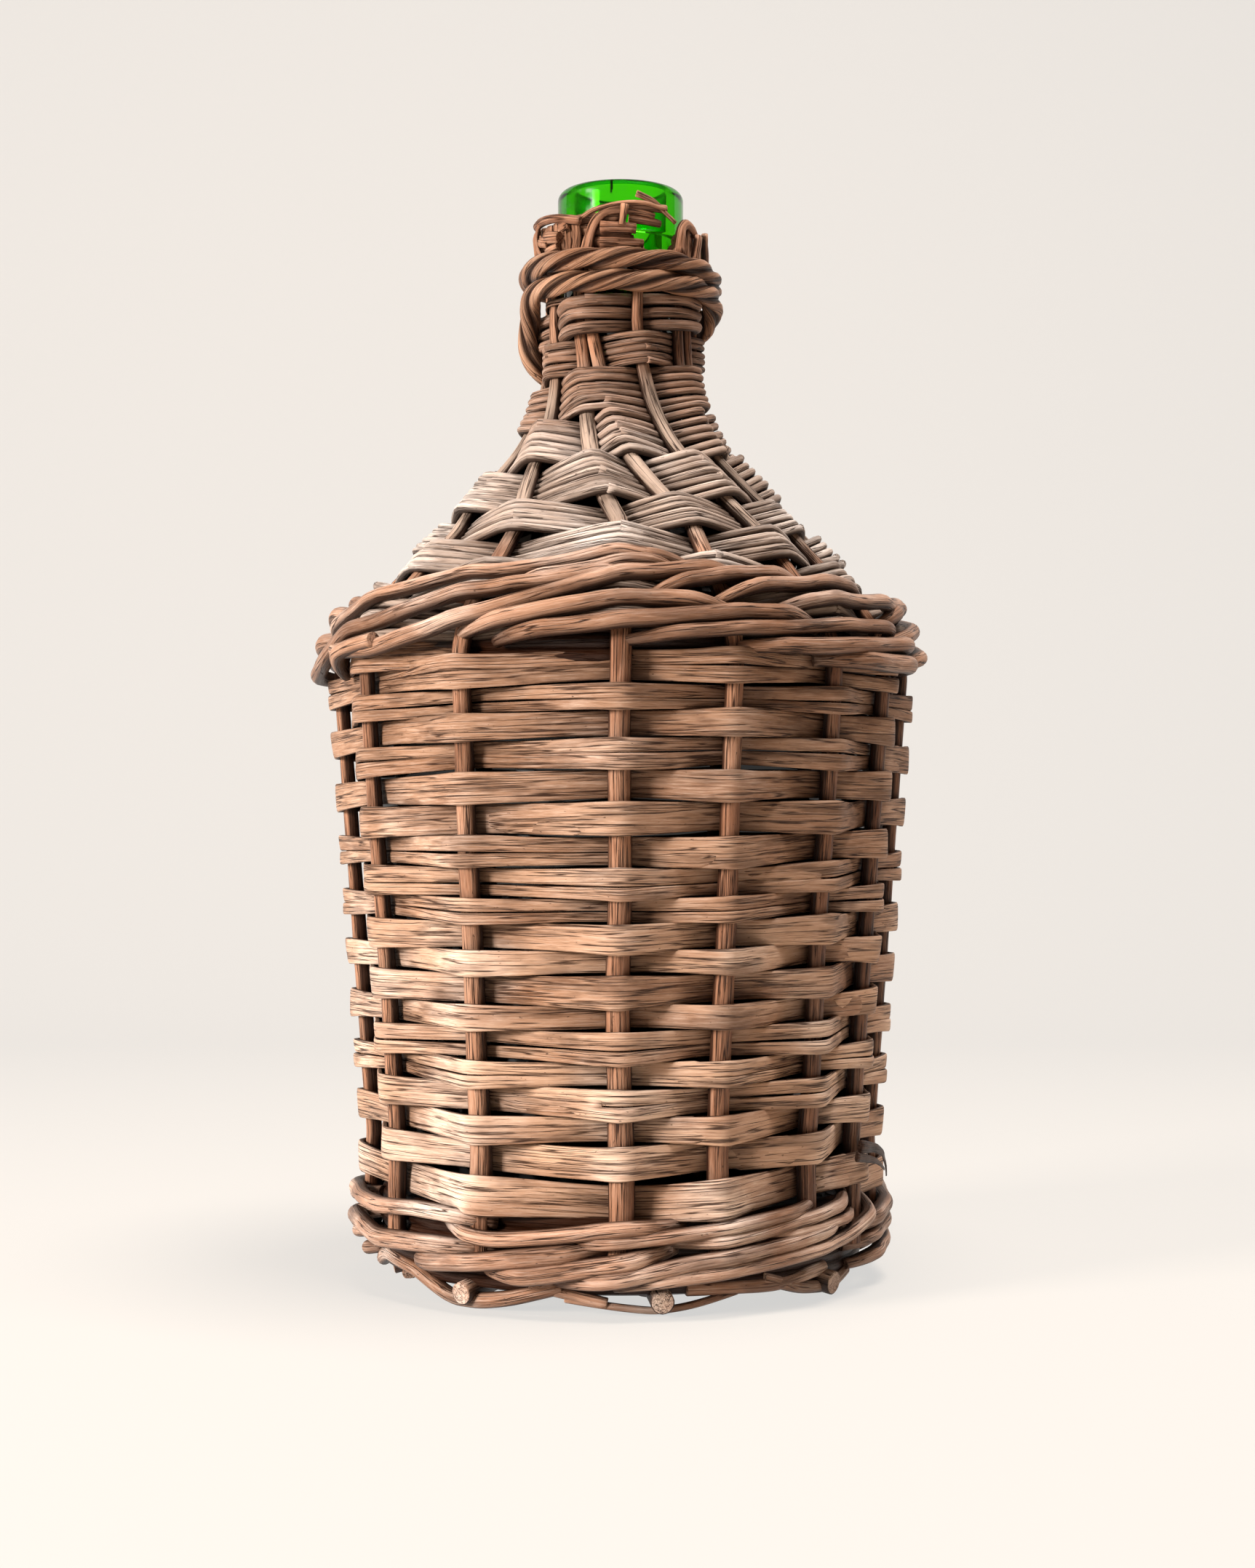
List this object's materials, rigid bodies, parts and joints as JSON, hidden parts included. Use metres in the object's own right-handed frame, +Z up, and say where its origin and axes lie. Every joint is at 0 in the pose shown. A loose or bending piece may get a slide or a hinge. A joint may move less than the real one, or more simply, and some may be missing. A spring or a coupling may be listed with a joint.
{
  "type": "wicker demijohn",
  "caption": "Narrow-necked glass demijohn in a woven willow casing: flat strips round the body, thin rods on the shoulder and neck, thick twined rods at foot and shoulder.",
  "frame": {"origin": "on the bottle's axis, at the level of the surface that the foot border stands on", "axes": "+Z up along the bottle's axis towards the mouth, -Y towards the front that the picture shows, +X to the right of that front"},
  "size_m": [0.2093, 0.2099, 0.3715],
  "materials": {
    "green_glass": "smooth, saturated green, seen through only at the mouth and neck",
    "barked_rod": "reddish brown willow rod with its bark, dull",
    "thick_rod": "thick brown willow rod, slightly glossy where worn",
    "split_strip": "split willow strip, long grain, dry and dull",
    "grey_rod": "thin greyish brown willow rod, dry and dull",
    "twisted_rod": "twisted warm brown willow rod"
  },
  "bodies": {
    "root": {"glass_bottle": "green_glass", "base_stick_1": "thick_rod", "base_stick_2": "thick_rod", "base_stick_3": "thick_rod", "base_stick_4": "thick_rod", "base_weaver_1": "grey_rod", "base_weaver_2": "grey_rod", "foot_border": "thick_rod", "bottom_wale_rod_1": "thick_rod", "bottom_wale_rod_2": "thick_rod", "bottom_wale_rod_3": "thick_rod", "bottom_wale_rod_4": "thick_rod", "bottom_wale_rod_5": "thick_rod", "bottom_wale_rod_6": "thick_rod", "stake_01": "barked_rod", "stake_02": "barked_rod", "stake_03": "barked_rod", "stake_04": "barked_rod", "stake_05": "barked_rod", "stake_06": "barked_rod", "stake_07": "barked_rod", "stake_08": "barked_rod", "stake_09": "barked_rod", "stake_10": "barked_rod", "stake_11": "barked_rod", "stake_12": "barked_rod", "stake_13": "barked_rod", "stake_14": "barked_rod", "stake_15": "barked_rod", "body_weaver": "split_strip", "shoulder_wale_rod_1": "thick_rod", "shoulder_wale_rod_2": "thick_rod", "shoulder_wale_rod_3": "thick_rod", "neck_weaver_1": "grey_rod", "neck_weaver_2": "grey_rod", "neck_weaver_3": "grey_rod", "neck_weaver_4": "grey_rod", "neck_rope_upper": "twisted_rod", "neck_rope_lower_front": "twisted_rod", "neck_rope_lower_back": "twisted_rod"}
  },
  "joints": []
}
